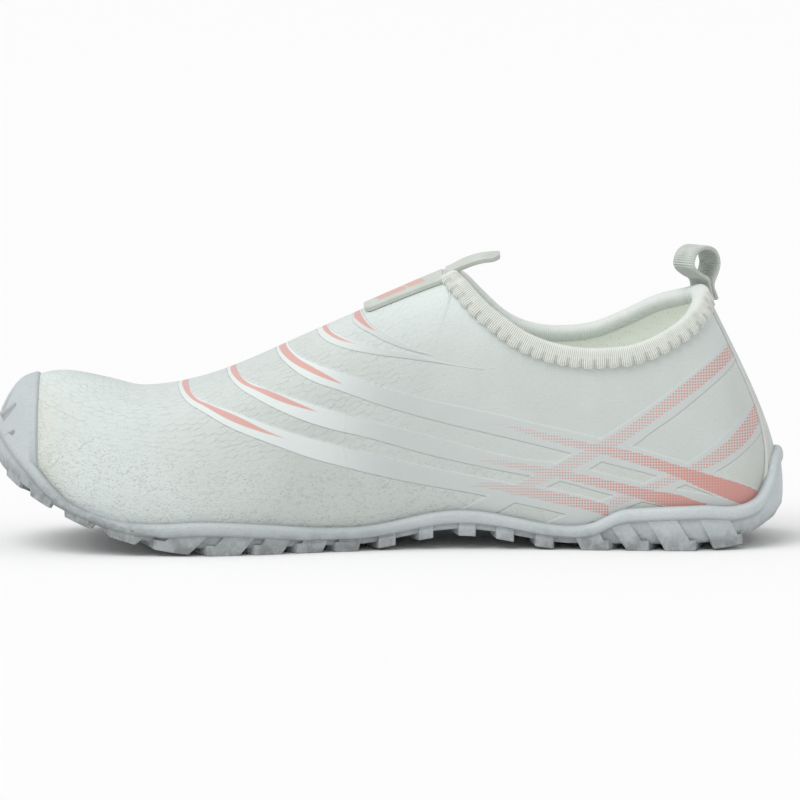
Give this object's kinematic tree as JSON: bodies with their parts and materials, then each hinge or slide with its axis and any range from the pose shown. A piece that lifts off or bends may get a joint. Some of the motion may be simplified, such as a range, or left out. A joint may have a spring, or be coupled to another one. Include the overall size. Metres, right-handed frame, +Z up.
{
  "type": "water shoe",
  "caption": "Slip-on water shoe with a knit upper, stretch collar binding, instep tab, heel pull loop and a rubber cup sole with tread lugs.",
  "frame": {"origin": "middle of the bottom of the whole shoe's bounding box, on the floor", "axes": "+Z up, -X towards the toe, +X towards the heel, -Y the side of the big toe"},
  "size_m": [0.2614, 0.0918, 0.0971],
  "materials": {
    "rubber_sole": "matte bluish white moulded rubber, greyer on the lugs",
    "foam_insole": "soft matte foam",
    "knit_upper": "pale grey stretch knit with an embossed cell pattern and smooth bands with pink parts",
    "elastic_binding": "ribbed elastic edging, grey",
    "film_trim": "smooth pale grey film with a faint sheen",
    "webbing": "ribbed pale webbing"
  },
  "bodies": {
    "root": {"outsole": "rubber_sole", "insole": "foam_insole", "upper": "knit_upper", "collar_binding": "elastic_binding", "instep_patch": "film_trim", "instep_pull_tab": "film_trim", "heel_strip": "film_trim", "heel_pull_loop": "webbing"}
  },
  "joints": []
}
